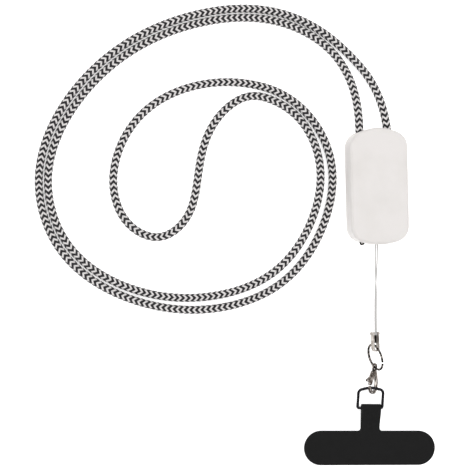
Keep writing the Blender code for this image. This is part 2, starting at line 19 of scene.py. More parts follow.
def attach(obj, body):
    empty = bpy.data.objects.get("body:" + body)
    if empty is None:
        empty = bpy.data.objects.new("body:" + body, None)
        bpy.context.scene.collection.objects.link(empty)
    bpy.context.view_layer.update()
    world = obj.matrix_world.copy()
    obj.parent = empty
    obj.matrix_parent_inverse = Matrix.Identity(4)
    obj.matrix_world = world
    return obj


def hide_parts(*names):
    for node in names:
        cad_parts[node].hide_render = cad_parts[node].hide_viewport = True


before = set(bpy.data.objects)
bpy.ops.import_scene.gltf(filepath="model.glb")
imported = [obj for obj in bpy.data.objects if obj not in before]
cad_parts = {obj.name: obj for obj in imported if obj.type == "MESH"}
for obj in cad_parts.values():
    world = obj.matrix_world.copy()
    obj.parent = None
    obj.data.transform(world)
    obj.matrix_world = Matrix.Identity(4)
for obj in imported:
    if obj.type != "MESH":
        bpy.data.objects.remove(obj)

MM = 0.001
BODY = "lanyard"
LEVER_BODY = "clasp_lever"
RINGS_A_UNIT = 1000.0       # rings of a tube for one unit of its map's first axis
STRING_PLIES = 3
STRING_LAY = 12             # rings for one turn of the string's plies
LOG = logging.getLogger("lanyard")
Pair = tuple[float, float]
Triple = tuple[float, float, float]


class Cut(Enum):
    """How one solid changes another."""

    ADD = "UNION"
    REMOVE = "DIFFERENCE"


class Strand(Enum):
    """The two strands of a pair."""

    FIRST = -1.0
    SECOND = 1.0


# Shared helpers


def linear(code: str) -> tuple[float, float, float, float]:
    """Turns an sRGB hex colour into linear values.

    Args:
        code: Six hex digits after a hash sign.

    Returns:
        Red, green, blue and a full alpha.
    """
    parts = [int(code[i:i + 2], 16) / 255.0 for i in (1, 3, 5)]
    bent = [p / 12.92 if p <= 0.04045 else ((p + 0.055) / 1.055) ** 2.4 for p in parts]
    return (bent[0], bent[1], bent[2], 1.0)


def feed(tree: NodeTree, node: Node, inputs: dict) -> None:
    """Sets or links sockets of a node.

    Args:
        tree: The nodes that it is part of.
        node: The node.
        inputs: Sockets by name or number, each with a value, an output, or a node whose first output is meant.
    """
    for key, value in inputs.items():
        source = value.outputs[0] if isinstance(value, Node) else value
        if isinstance(source, NodeSocket):
            tree.links.new(source, node.inputs[key])
        else:
            node.inputs[key].default_value = source


def add_node(tree: NodeTree, kind: str, inputs: dict | None = None,
             stops: Sequence[tuple[float, str]] = (), **settings: object) -> Node:
    """Adds one node with its settings and links.

    Args:
        tree: The material's nodes.
        kind: Blender's name for the kind of node, after the words ShaderNode.
        inputs: Sockets with what feeds them, as for feed.
        stops: Places from 0 to 1 with their hex colours, for a node that has a colour ramp.
        settings: The node's own properties.

    Returns:
        The new node.
    """
    node = tree.nodes.new("ShaderNode" + kind)
    for name, value in settings.items():
        setattr(node, name, value)
    for number, (place, code) in enumerate(stops):
        marks = node.color_ramp.elements
        mark = marks[number] if number < len(marks) else marks.new(place)
        mark.position = place
        mark.color = linear(code)
    feed(tree, node, inputs or {})
    return node


def start_material(name: str, values: dict[str, object]) -> tuple[Material, NodeTree, Node, NodeSocket]:
    """Makes a material whose shader holds the given constant values.

    Args:
        name: The finish's name.
        values: Values of the shader's sockets.

    Returns:
        The material, its nodes, its shader and the object coordinates.
    """
    made = bpy.data.materials.new(name)
    made.use_nodes = True
    tree = made.node_tree
    shader = tree.nodes["Principled BSDF"]
    feed(tree, shader, values)
    return made, tree, shader, add_node(tree, "TexCoord").outputs["Object"]


def smooth_rows(rows: Sequence[Sequence[float]], steps: int) -> np.ndarray:
    """Reads points from the smooth cubic through all the rows, column by column.

    Args:
        rows: Points, with any further columns.
        steps: Points read from each span.

    Returns:
        The read rows.
    """
    table = np.array(rows, dtype=float)
    spans = np.linalg.norm(np.diff(table[:, :2], axis=0), axis=1)
    count = len(table)
    system = np.zeros((count, count))
    system[0, 0] = system[-1, -1] = 1.0
    target = np.zeros_like(table)
    slopes = np.diff(table, axis=0) / spans[:, None]
    for i in range(1, count - 1):
        system[i, i - 1:i + 2] = (spans[i - 1], 2.0 * (spans[i - 1] + spans[i]), spans[i])
        target[i] = 6.0 * (slopes[i] - slopes[i - 1])
    bend = np.linalg.solve(system, target)
    points = [table[0]]
    for i, span in enumerate(spans):
        for step in range(1, steps + 1):
            share = step / steps
            rest = 1.0 - share
            curve = (share ** 3 - share) * bend[i + 1] + (rest ** 3 - rest) * bend[i]
            points.append(rest * table[i] + share * table[i + 1] + curve * span ** 2 / 6.0)
    return np.array(points)


def reach_along(points: np.ndarray) -> np.ndarray:
    """Length of a path up to each of its points, from 0."""
    return np.concatenate([[0.0], np.cumsum(np.linalg.norm(np.diff(points, axis=0), axis=1))])


def arc(centre: Sequence[float], radius: float, start: float, end: float, steps: int) -> list:
    """Points of a circular arc as pairs, from one angle in radians to another in a number of spans."""
    angles = np.linspace(start, end, steps + 1)
    return [(centre[0] + radius * math.cos(a), centre[1] + radius * math.sin(a)) for a in angles]


def ribbon(rows: Sequence[Sequence[float]], steps: int) -> list:
    """Outline of a flat strip with round ends.

    Args:
        rows: Middle x, middle y and half width along the strip.
        steps: Points read from each span.

    Returns:
        The outline as pairs, anticlockwise.
    """
    path = smooth_rows(rows, steps)
    ahead = np.gradient(path[:, :2], axis=0)
    ahead /= np.linalg.norm(ahead, axis=1)[:, None]
    side = np.stack([-ahead[:, 1], ahead[:, 0]], axis=1)
    left = path[:, :2] + side * path[:, 2:3]
    right = path[:, :2] - side * path[:, 2:3]
    quarter = math.pi / 2.0
    cap_steps = 10
    last = math.atan2(ahead[-1, 1], ahead[-1, 0])
    first = math.atan2(ahead[0, 1], ahead[0, 0])
    end_cap = arc(path[-1, :2], path[-1, 2], last - quarter, last + quarter, cap_steps)
    start_cap = arc(path[0, :2], path[0, 2], first + quarter, first + 3.0 * quarter, cap_steps)
    return [tuple(p) for p in right[:-1]] + end_cap + [tuple(p) for p in left[-2:0:-1]] + start_cap[:-1]


def link_new(name: str, data: ID) -> Object:
    """Makes a linked object at the origin that holds a mesh, a lamp or a camera.

    Args:
        name: The object's name.
        data: What it holds.

    Returns:
        The object.
    """
    made = bpy.data.objects.new(name, data)
    bpy.context.scene.collection.objects.link(made)
    return made


def new_object(name: str, shape: bmesh.types.BMesh) -> Object:
    """Turns a bmesh into a linked object at the origin and frees it.

    Args:
        name: The object's name.
        shape: The mesh being built.

    Returns:
        The object.
    """
    mesh = bpy.data.meshes.new(name)
    shape.to_mesh(mesh)
    shape.free()
    return link_new(name, mesh)


def soften(item: Object, sharp_over: float) -> None:
    """Shades an object smooth, apart from edges over an angle in degrees."""
    item.data.shade_smooth()
    item.data.set_sharp_from_angle(angle=math.radians(sharp_over))


def blank(name: str, outline: Sequence[Sequence[float]], low: float, high: float, place: Matrix,
          top_rim: float = 0.0, bottom_rim: float = 0.0, segments: int = 4) -> Object:
    """A flat blank cut to an outline, with its edges rounded over.

    Args:
        name: The object's name.
        outline: Pairs in the blank's own plane.
        low: Height of its underside in its own frame.
        high: Height of its upper side.
        place: Its own frame.
        top_rim: Rounding of its upper edge.
        bottom_rim: Rounding of its lower edge.
        segments: Faces across each rounding.

    Returns:
        The object, with its place in its mesh.
    """
    shape = bmesh.new()
    corners = [shape.verts.new((x, y, low)) for x, y in outline]
    floor = shape.faces.new(corners)
    grown = bmesh.ops.extrude_face_region(shape, geom=[floor])["geom"]
    top = [v for v in grown if isinstance(v, bmesh.types.BMVert)]
    bmesh.ops.translate(shape, verts=top, vec=(0.0, 0.0, high - low))
    bmesh.ops.recalc_face_normals(shape, faces=shape.faces)
    for level, rim in ((high, top_rim), (low, bottom_rim)):
        if rim > 0.0:
            edges = [e for e in shape.edges if all(abs(v.co.z - level) < 1e-9 for v in e.verts)]
            bmesh.ops.bevel(shape, geom=edges, offset=rim, offset_type="OFFSET", affect="EDGES",
                            segments=segments, profile=0.5, material=-1)
    bmesh.ops.transform(shape, matrix=place, verts=shape.verts)
    return new_object(name, shape)


def drum(name: str, radius: float, depth: float, place: Matrix, sides: int = 48, rim: float = 0.0) -> Object:
    """A cylinder round the middle of its own frame.

    Args:
        name: The object's name.
        radius: Its radius.
        depth: Its length along its own z.
        place: Its own frame.
        sides: Faces round it.
        rim: Rounding of its two edges.

    Returns:
        The object, with its place in its mesh.
    """
    shape = bmesh.new()
    bmesh.ops.create_cone(shape, cap_ends=True, segments=sides, radius1=radius, radius2=radius, depth=depth)
    if rim > 0.0:
        edges = [e for e in shape.edges if abs(e.verts[0].co.z - e.verts[1].co.z) < 1e-9]
        bmesh.ops.bevel(shape, geom=edges, offset=rim, offset_type="OFFSET", affect="EDGES",
                        segments=3, profile=0.5, material=-1)
    bmesh.ops.transform(shape, matrix=place, verts=shape.verts)
    return new_object(name, shape)


def block(name: str, low: Sequence[float], high: Sequence[float], place: Matrix) -> Object:
    """A plain box between two corners of its own frame, used as a cutter.

    Args:
        name: The object's name.
        low: Lowest corner.
        high: Highest corner.
        place: Its own frame.

    Returns:
        The object, with its place in its mesh.
    """
    shape = bmesh.new()
    bmesh.ops.create_cube(shape, size=1.0)
    bmesh.ops.scale(shape, verts=shape.verts, vec=Vector(high) - Vector(low))
    bmesh.ops.translate(shape, verts=shape.verts, vec=(Vector(high) + Vector(low)) / 2.0)
    bmesh.ops.transform(shape, matrix=place, verts=shape.verts)
    return new_object(name, shape)


def carve(item: Object, steps: Sequence[tuple[Cut, Object]]) -> Object:
    """Adds and removes solids with an exact solver, and drops them afterwards.

    Args:
        item: The piece that is kept.
        steps: Each change with the solid that makes it.

    Returns:
        The same piece with its new mesh.
    """
    for cut, tool in steps:
        change = item.modifiers.new(tool.name, "BOOLEAN")
        change.operation = cut.value
        change.solver = "EXACT"
        change.object = tool
    graph = bpy.context.evaluated_depsgraph_get()
    mesh = bpy.data.meshes.new_from_object(item.evaluated_get(graph))
    item.modifiers.clear()
    item.data = mesh
    for _, tool in steps:
        bpy.data.objects.remove(tool, do_unlink=True)
    return item


def sleeve(name: str, path: np.ndarray, stations: np.ndarray, radius: Callable, sides: int,
           shift: Callable | None = None, closed: bool = False, map_name: str = "") -> Object:
    """Wraps a grid round a path as a tube.

    Args:
        name: The object's name.
        path: Fine points of the middle line.
        stations: Length along the path of each ring of the tube.
        radius: Gives the radius from ring numbers and shares of the round.
        sides: Faces round the tube.
        shift: Gives how far each point moves along the path, from shares of the round.
        closed: True where the path is a loop.
        map_name: Name of a UV map that holds thousandths of a ring and the share of the round.

    Returns:
        The object, with its place in its mesh.
    """
    rings = len(stations)
    shape = bmesh.new()
    bmesh.ops.create_grid(shape, x_segments=rings - 1, y_segments=sides, size=1.0)
    made = new_object(name, shape)
    mesh = made.data
    flat = np.empty(len(mesh.vertices) * 3, dtype=np.float32)
    mesh.vertices.foreach_get("co", flat)
    flat = flat.reshape(-1, 3)
    ring = np.rint((flat[:, 0] + 1.0) / 2.0 * (rings - 1)).astype(int)
    share = np.rint((flat[:, 1] + 1.0) / 2.0 * sides) / sides

    along = reach_along(path)
    place = stations[ring] + (shift(share) if shift else 0.0)
    if closed:
        place = np.mod(place, along[-1])
    ahead = np.gradient(path, axis=0)
    if closed:
        ahead[0] = ahead[-1] = path[1] - path[-2]
    ahead /= np.linalg.norm(ahead, axis=1)[:, None]
    centre = np.stack([np.interp(place, along, path[:, k]) for k in range(3)], axis=1)
    heading = np.stack([np.interp(place, along, ahead[:, k]) for k in range(3)], axis=1)
    heading /= np.linalg.norm(heading, axis=1)[:, None]
    side = np.cross(heading, np.array([0.0, 0.0, 1.0]))
    side /= np.linalg.norm(side, axis=1)[:, None]
    rise = np.cross(side, heading)
    turn = 2.0 * math.pi * share
    size = radius(ring, share)
    moved = centre + (side * np.sin(turn)[:, None] + rise * np.cos(turn)[:, None]) * size[:, None]
    mesh.vertices.foreach_set("co", moved.astype(np.float32).ravel())
    if map_name:
        corner = np.empty(len(mesh.loops), dtype=np.int32)
        mesh.loops.foreach_get("vertex_index", corner)
        layer = mesh.uv_layers.new(name=map_name)
        pairs = np.stack([ring[corner] / RINGS_A_UNIT, share[corner]], axis=1).astype(np.float32)
        layer.uv.foreach_set("vector", pairs.ravel())
    shape = bmesh.new()
    shape.from_mesh(mesh)
    bmesh.ops.remove_doubles(shape, verts=shape.verts, dist=1e-7)
    if not closed:
        edges = [e for e in shape.edges if e.is_boundary]
        bmesh.ops.holes_fill(shape, edges=edges, sides=0)
    bmesh.ops.recalc_face_normals(shape, faces=shape.faces)
    shape.to_mesh(mesh)
    shape.free()
    return made


def bent_wire(name: str, path: np.ndarray, rings: int, wire: float, closed: bool = False) -> Object:
    """Wraps a round wire over a path, with its rings at even steps.

    Args:
        name: The object's name.
        path: Points of the middle line.
        rings: Number of rings.
        wire: The wire's diameter.
        closed: True where the path is a loop.

    Returns:
        The object, with its place in its mesh.
    """
    stations = np.linspace(0.0, reach_along(path)[-1], rings)
    return sleeve(name, path, stations, lambda ring, share: np.full(len(ring), wire / 2.0), 16, closed=closed)


# Finishes


@dataclass(frozen=True)
class BraidedYarn:
    """Polyester braid over a charging cable: matte, fibrous, black and white chevrons."""

    name: str = "braided_polyester"
    black: str = "#1a191b"
    black_light: str = "#302e31"
    white: str = "#e4e1df"
    white_dark: str = "#c0bcbb"
    rings_per_yarn: int = 3
    columns: int = 8
    fibres: float = 5.0
    fibre_share: float = 0.16
    wander_share: float = 0.16

    def make(self) -> Material:
        """Builds the material on the cable's own map."""
        made, tree, shader, spot = start_material(self.name, {
            "Roughness": 0.85, "Specular IOR Level": 0.2, "Sheen Weight": 0.3})
        parts = add_node(tree, "SeparateXYZ", {"Vector": add_node(tree, "UVMap", uv_map="braid")})
        yarn = add_node(tree, "Math", {0: parts.outputs["X"], 1: RINGS_A_UNIT / self.rings_per_yarn},
                        operation="MULTIPLY")
        # a slight wander of the boundary, 0.5 mm long, as the yarns are squeezed unevenly
        wander = add_node(tree, "TexNoise", {"Vector": spot, "Scale": 1900.0, "Detail": 2.0})
        wave = add_node(tree, "Math", {0: wander, 1: self.wander_share, 2: yarn}, operation="MULTIPLY_ADD")
        wave = add_node(tree, "Math", {0: wave, 1: math.pi}, operation="MULTIPLY")
        wave = add_node(tree, "Math", {0: wave}, operation="SINE")
        is_black = add_node(tree, "MapRange", {"Value": wave, "From Min": -0.40, "From Max": -0.02})
        # fibres run along each yarn, 0.28 mm apart
        fibre = add_node(tree, "Math", {0: yarn, 1: 2.0 * math.pi * self.fibres}, operation="MULTIPLY")
        fibre = add_node(tree, "Math", {0: fibre}, operation="SINE")
        grain = add_node(tree, "TexNoise", {"Vector": spot, "Scale": 5200.0, "Detail": 3.0, "Roughness": 0.65})
        mixed = add_node(tree, "Math", {0: fibre, 1: self.fibre_share, 2: grain}, operation="MULTIPLY_ADD")
        dark = add_node(tree, "ValToRGB", {"Fac": mixed}, [(0.25, self.black), (0.75, self.black_light)])
        light = add_node(tree, "ValToRGB", {"Fac": mixed}, [(0.2, self.white_dark), (0.62, self.white)])
        colour = add_node(tree, "Mix", {0: is_black, 6: light, 7: dark}, data_type="RGBA")
        # painted shade: the colour is darkened in the crevices between yarns and between columns
        fold = add_node(tree, "Math", {0: yarn}, operation="FRACT")
        fold = add_node(tree, "Math", {0: fold, 1: 0.5}, operation="PINGPONG")
        column = add_node(tree, "Math", {0: parts.outputs["Y"], 1: float(self.columns)}, operation="MULTIPLY")
        column = add_node(tree, "Math", {0: column, 1: 0.5}, operation="PINGPONG")
        crease = add_node(tree, "Math", {0: fold, 1: column}, operation="MINIMUM")
        # painted shade, down to 62 % of the colour right in a crevice
        shade = add_node(tree, "MapRange", {"Value": crease, "From Max": 0.12, "To Min": 0.62})
        colour_with_painted_shade = add_node(tree, "VectorMath", {0: colour.outputs[2], "Scale": shade}, operation="SCALE")
        bump = add_node(tree, "Bump", {"Strength": 0.5, "Distance": 0.06 * MM, "Height": mixed})
        feed(tree, shader, {"Base Color": colour_with_painted_shade, "Normal": bump})
        return made


@dataclass(frozen=True)
class MouldedPlastic:
    """Injection-moulded white ABS: satin, with a very fine spark-eroded grain and faint wear."""

    name: str = "moulded_white_abs"
    colour: str = "#d9d5d2"
    worn: str = "#d3cfcb"
    roughness: float = 0.42

    def make(self) -> Material:
        """Builds the material on object coordinates."""
        made, tree, shader, spot = start_material(self.name, {"IOR": 1.54})
        # cloudy tone about 15 mm across, which also varies the gloss
        cloud = add_node(tree, "TexNoise", {"Vector": spot, "Scale": 65.0, "Detail": 3.0})
        tone = add_node(tree, "ValToRGB", {"Fac": cloud}, [(0.3, self.worn), (0.6, self.colour)])
        gloss = add_node(tree, "MapRange", {"Value": cloud, "From Min": 0.3, "From Max": 0.7,
                                            "To Min": self.roughness - 0.05, "To Max": self.roughness + 0.06})
        # the mould's grain of 0.25 mm
        grain = add_node(tree, "TexNoise", {"Vector": spot, "Scale": 4000.0, "Detail": 2.0})
        bump = add_node(tree, "Bump", {"Strength": 0.22, "Distance": 0.02 * MM, "Height": grain})
        feed(tree, shader, {"Base Color": tone, "Roughness": gloss, "Normal": bump})
        return made


@dataclass(frozen=True)
class TwistedNylon:
    """Three-ply nylon string: white, slightly glossy, with fibres along each ply."""

    name: str = "twisted_nylon"
    colour: str = "#c4c2c0"
    shade: str = "#989694"

    def make(self) -> Material:
        """Builds the material on the string's own map."""
        made, tree, shader, spot = start_material(self.name, {"Roughness": 0.55, "Sheen Weight": 0.1})
        parts = add_node(tree, "SeparateXYZ", {"Vector": add_node(tree, "UVMap", uv_map="ply")})
        # shade in the grooves between the plies, which turn along the string
        lay = add_node(tree, "Math", {0: parts.outputs["X"], 1: RINGS_A_UNIT / STRING_LAY}, operation="MULTIPLY")
        plies = add_node(tree, "Math", {0: parts.outputs["Y"], 1: lay}, operation="SUBTRACT")
        plies = add_node(tree, "Math", {0: plies, 1: float(STRING_PLIES)}, operation="MULTIPLY")
        plies = add_node(tree, "Math", {0: plies, 1: 0.5}, operation="PINGPONG")
        tone = add_node(tree, "ValToRGB", {"Fac": plies}, [(0.02, self.shade), (0.22, self.colour)])
        # single fibres, 0.1 mm apart
        fibre = add_node(tree, "TexNoise", {"Vector": spot, "Scale": 9000.0})
        bump = add_node(tree, "Bump", {"Strength": 0.3, "Distance": 0.02 * MM, "Height": fibre})
        feed(tree, shader, {"Base Color": tone, "Normal": bump})
        return made


@dataclass(frozen=True)
class PlatedMetal:
    """Barrel-plated castings, sheet and wire: clouds of bright and dark tone painted into the colour as
    reflections, fine handling scratches.
    """

    name: str
    colour: str
    painted_dark: str
    roughness: float
    ripple: float
    grain: Triple = (650.0, 650.0, 650.0)
    painted_dark_share: float = 0.44
    edge: str = "#8a8a8a"
    hairs: Triple = (9000.0, 900.0, 9000.0)

    def make(self) -> Material:
        """Builds the material on object coordinates."""
        made, tree, shader, spot = start_material(self.name, {
            "Metallic": 1.0, "Specular Tint": linear(self.edge)})
        # painted reflections: clouds of bright and dark tone about 1.5 mm across, or drawn out along a piece,
        # that stand for the bright and dark surroundings mirrored in the metal
        drawn = add_node(tree, "Mapping", {"Vector": spot, "Scale": self.grain})
        cloud = add_node(tree, "TexNoise", {"Vector": drawn, "Scale": 1.0, "Detail": 3.0})
        tone = add_node(tree, "ValToRGB", {"Fac": cloud},
                        [(self.painted_dark_share, self.painted_dark), (self.painted_dark_share + 0.12, self.colour)])
        # hairline scratches of 0.1 mm, stretched along the piece
        stretch = add_node(tree, "Mapping", {"Vector": spot, "Scale": self.hairs})
        hair = add_node(tree, "TexNoise", {"Vector": stretch, "Scale": 1.0, "Detail": 2.0})
        gloss = add_node(tree, "MapRange", {"Value": hair, "From Min": 0.3, "From Max": 0.75,
                                            "To Min": self.roughness, "To Max": self.roughness + 0.14})
        bump = add_node(tree, "Bump", {"Strength": self.ripple, "Distance": 0.08 * MM, "Height": cloud})
        feed(tree, shader, {"Base Color": tone, "Roughness": gloss, "Normal": bump})
        return made


@dataclass(frozen=True)
class CoatedFabric:
    """Woven nylon with a matte black coating: flat black, a faint weave, slightly polished spots."""

    name: str = "coated_black_nylon"
    colour: str = "#1a1a1a"
    dark: str = "#131313"
    thread: float = 0.42 * MM
    weave_share: float = 0.10

    def make(self) -> Material:
        """Builds the material on object coordinates."""
        made, tree, shader, spot = start_material(self.name, {"Specular IOR Level": 0.15})
        # plain weave: warp and weft rise in turn, one thread each 0.42 mm
        parts = add_node(tree, "SeparateXYZ", {"Vector": spot})
        warp, weft = [
            add_node(tree, "Math", {0: add_node(tree, "Math", {0: parts.outputs[axis], 1: math.pi / self.thread},
                                                operation="MULTIPLY")}, operation="SINE")
            for axis in "XY"]
        weave = add_node(tree, "Math", {0: warp, 1: weft}, operation="MULTIPLY")
        # the coating's clouds, 4 mm across
        cloud = add_node(tree, "TexNoise", {"Vector": spot, "Scale": 260.0, "Detail": 4.0})
        mixed = add_node(tree, "Math", {0: weave, 1: self.weave_share, 2: cloud}, operation="MULTIPLY_ADD")
        tone = add_node(tree, "ValToRGB", {"Fac": mixed}, [(0.3, self.dark), (0.7, self.colour)])
        gloss = add_node(tree, "MapRange", {"Value": mixed, "From Min": 0.3, "From Max": 0.7,
                                            "To Min": 0.72, "To Max": 0.88})
        bump = add_node(tree, "Bump", {"Strength": 0.45, "Distance": 0.06 * MM, "Height": weave})
        feed(tree, shader, {"Base Color": tone, "Roughness": gloss, "Normal": bump})
        return made


@dataclass(frozen=True)
class LightTable:
    """Opal acrylic sheet of a light table: plain white, and lit from below so that shadows fade."""

    name: str = "opal_acrylic"
    colour: str = "#f8f8f8"
    glow: float = 0.45

    def make(self) -> Material:
        """Builds the material on object coordinates."""
        tone = linear(self.colour)
        made, tree, shader, spot = start_material(self.name, {
            "Roughness": 0.9, "Base Color": tone, "Emission Color": tone, "Emission Strength": self.glow})
        # the sheet's matt grain, 2.5 mm across
        grain = add_node(tree, "TexNoise", {"Vector": spot, "Scale": 400.0})
        bump = add_node(tree, "Bump", {"Strength": 0.05, "Distance": 0.05 * MM, "Height": grain})
        feed(tree, shader, {"Normal": bump})
        return made


# Stage


@dataclass
class Studio:
    """Pale floor, soft overhead light and the camera at the photograph's angle."""

    ground: Triple = (-70.85 * MM, -24.35 * MM, 0.0)
    camera_place: Triple = (-189.15 * MM, -24.35 * MM, 841.7 * MM)
    frame_px: float = 470.0
    focal_px: float = 1700.0
    sensor: float = 36.0
    floor_size: float = 6.0
    floor_gap: float = 0.1 * MM
    softboxes: tuple = (     # name, place, side in metres and power in watts
        ("softbox_above", (0.25, 0.35, 1.35), 1.5, 10.0), ("softbox_left", (-1.35, 0.1, 0.9), 1.3, 6.0),
        ("softbox_right", (1.0, -0.7, 0.9), 1.0, 2.6))
    board_tone: str = "#f4f4f6"
    gap_tone: str = "#17161a"
    room_strength: float = 0.8
    exposure: float = 0.40

    def place_camera(self) -> None:
        """Adds the camera and makes it the scene's."""
        data = bpy.data.cameras.new("camera")
        data.sensor_width = self.sensor
        data.lens = self.focal_px / self.frame_px * self.sensor
        camera = link_new("camera", data)
        camera.location = self.camera_place
        back = (Vector(self.camera_place) - Vector(self.ground)).normalized()
        right = Vector((0.0, 1.0, 0.0)).cross(back).normalized()
        up = back.cross(right)
        camera.matrix_world = Matrix.Translation(self.camera_place) @ Matrix(
            (right, up, back)).transposed().to_4x4()
        bpy.context.scene.camera = camera

    def lay_floor(self, finish: Material) -> None:
        """Adds the floor under the lanyard.

        Args:
            finish: The floor's material.
        """
        shape = bmesh.new()
        bmesh.ops.create_grid(shape, x_segments=1, y_segments=1, size=self.floor_size / 2.0)
        bmesh.ops.translate(shape, verts=shape.verts, vec=(*self.ground[:2], -self.floor_gap))
        floor = new_object("floor", shape)
        floor.data.materials.append(finish)

    def hang_light(self, name: str, place: Sequence[float], size: float, power: float) -> None:
        """Adds one softbox that points at the lanyard.

        Args:
            name: The light's name.
            place: Where it hangs, in metres.
            size: Its side.
            power: Its power in watts.
        """
        data = bpy.data.lights.new(name, "AREA")
        data.shape = "SQUARE"
        data.size = size
        data.energy = power
        light = link_new(name, data)
        light.location = place
        aim = Vector(self.ground) - Vector(place)
        light.rotation_euler = aim.to_track_quat("-Z", "Y").to_euler()

    def light(self) -> None:
        """Hangs the softboxes and sets the dim room round them."""
        for row in self.softboxes:
            self.hang_light(*row)
        world = bpy.data.worlds.new("room")
        world.use_nodes = True
        tree = world.node_tree
        # white walls with dark gaps between the boards, which bright metal needs for its contrast
        spot = add_node(tree, "TexCoord").outputs["Generated"]
        board = add_node(tree, "TexNoise", {"Vector": spot, "Scale": 2.6, "Detail": 0.0})
        tone = add_node(tree, "ValToRGB", {"Fac": board}, [(0.46, self.gap_tone), (0.52, self.board_tone)])
        feed(tree, tree.nodes["Background"], {"Color": tone, "Strength": self.room_strength})
        bpy.context.scene.world = world
        bpy.context.scene.view_settings.view_transform = "Standard"
        bpy.context.scene.view_settings.exposure = self.exposure


# Cable


@dataclass
class NeckCable:
    """The braided cable: out of the case, round the neck loop and its slack turn, and back.

    The exits, the pair and the bight are points on the floor in millimetres, and the pair's third
    column is how much further apart its two strands lie there than their pitch.
    """

    diameter: float = 4.2 * MM
    strand_pitch: float = 4.5 * MM
    exit_level: float = 9.0 * MM
    exit_drop: float = 34.0 * MM
    exit_height: float = 7.0 * MM
    length: float = 1.259
    yarn: float = 1.395 * MM
    chevron: float = 1.5 * MM
    groove: float = 0.20 * MM
    seam_groove: float = 0.07 * MM
    columns: int = 8
    sides: int = 24
    rings_per_yarn: int = 3
    first_exit: tuple = ((-8.7, 24.0), (-9.4, 36.0), (-13.2, 54.0))
    second_exit: tuple = ((5.9, 24.5), (3.9, 36.0), (-3.8, 55.5))
    pair: tuple = (
        (-16.7, 65.9, 1.1), (-28.3, 75.8, 0.0), (-52.0, 85.2, 0.0), (-88.0, 83.6, 0.0),
        (-122.5, 69.5, 0.0), (-150.5, 43.7, 0.0), (-166.1, 4.0, 0.0), (-156.0, -30.3, 0.0),
        (-122.0, -53.8, 0.5), (-81.8, -57.8, 1.8), (-48.8, -45.0, 2.2), (-28.5, -16.0, 1.9),
        (-25.3, 12.0, 1.4), (-39.0, 37.6, 0.1), (-50.6, 45.0, 0.3),
    )
    bight: tuple = (
        (-63.0, 45.0), (-75.6, 38.5), (-86.2, 21.8), (-90.2, 1.4), (-95.3, -15.5), (-108.8, -25.3),
        (-122.6, -20.4), (-131.4, -3.3), (-129.6, 16.0), (-116.5, 36.6), (-93.0, 49.3), (-65.5, 51.3),
    )

    def strand(self, side: float) -> np.ndarray:
        """One strand of the neck loop's pair.

        Args:
            side: 1 for the inner strand, -1 for the outer one.

        Returns:
            Its points in millimetres.
        """
        steps = 8
        fine = smooth_rows([row[:2] for row in self.pair], steps)
        ahead = np.gradient(fine, axis=0)[::steps]
        ahead /= np.linalg.norm(ahead, axis=1)[:, None]
        across = np.stack([-ahead[:, 1], ahead[:, 0]], axis=1)
        pitch = self.strand_pitch / MM + np.array([row[2] for row in self.pair])
        return fine[::steps] + side * across * pitch[:, None] / 2.0

    def route(self, steps: int = 40) -> np.ndarray:
        """The middle line of the whole cable.

        Args:
            steps: Points read from each span of the route.

        Returns:
            Its points in metres.
        """
        rows = [*self.first_exit, *self.strand(1.0), *self.bight, *self.strand(-1.0)[::-1],
                *self.second_exit[::-1]]
        flat = smooth_rows(rows, steps) * MM
        reach = reach_along(flat)
        near_end = np.minimum(reach, reach[-1] - reach)
        share = np.clip((near_end - self.exit_level) / self.exit_drop, 0.0, 1.0)
        fall = share * share * (3.0 - 2.0 * share)
        height = self.exit_height * (1.0 - fall) + self.diameter / 2.0 * fall
        return np.column_stack([flat, height])

    def radius(self, ring: np.ndarray, share: np.ndarray) -> np.ndarray:
        """Radius of the tube: full on each yarn, less between yarns and between columns."""
        between_yarns = np.where(ring % self.rings_per_yarn == 0, self.groove, 0.0)
        column = np.rint(share * self.sides).astype(int) % (self.sides // self.columns)
        between_columns = np.where(column == 0, self.seam_groove, 0.0)
        return self.diameter / 2.0 - np.maximum(between_yarns, between_columns)

    def shift(self, share: np.ndarray) -> np.ndarray:
        """Zigzag of each ring, which gives the braid its chevrons."""
        saw = np.abs(np.mod(share * self.columns / 2.0, 1.0) * 2.0 - 1.0)
        return (saw - 0.5) * self.chevron

    def build(self) -> Object:
        """Makes the braided tube.

        Returns:
            The cable.
        """
        path = self.route()
        stations = np.arange(0.0, reach_along(path)[-1], self.yarn / self.rings_per_yarn)
        made = sleeve("braided_cable", path, stations, self.radius, self.sides, self.shift, map_name="braid")
        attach(made, BODY)
        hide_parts("neck_cord")
        return made

    def dress(self, item: Object, finish: Material) -> None:
        """Gives the cable its braid."""
        item.data.materials.append(finish)
        soften(item, 80.0)


# Case


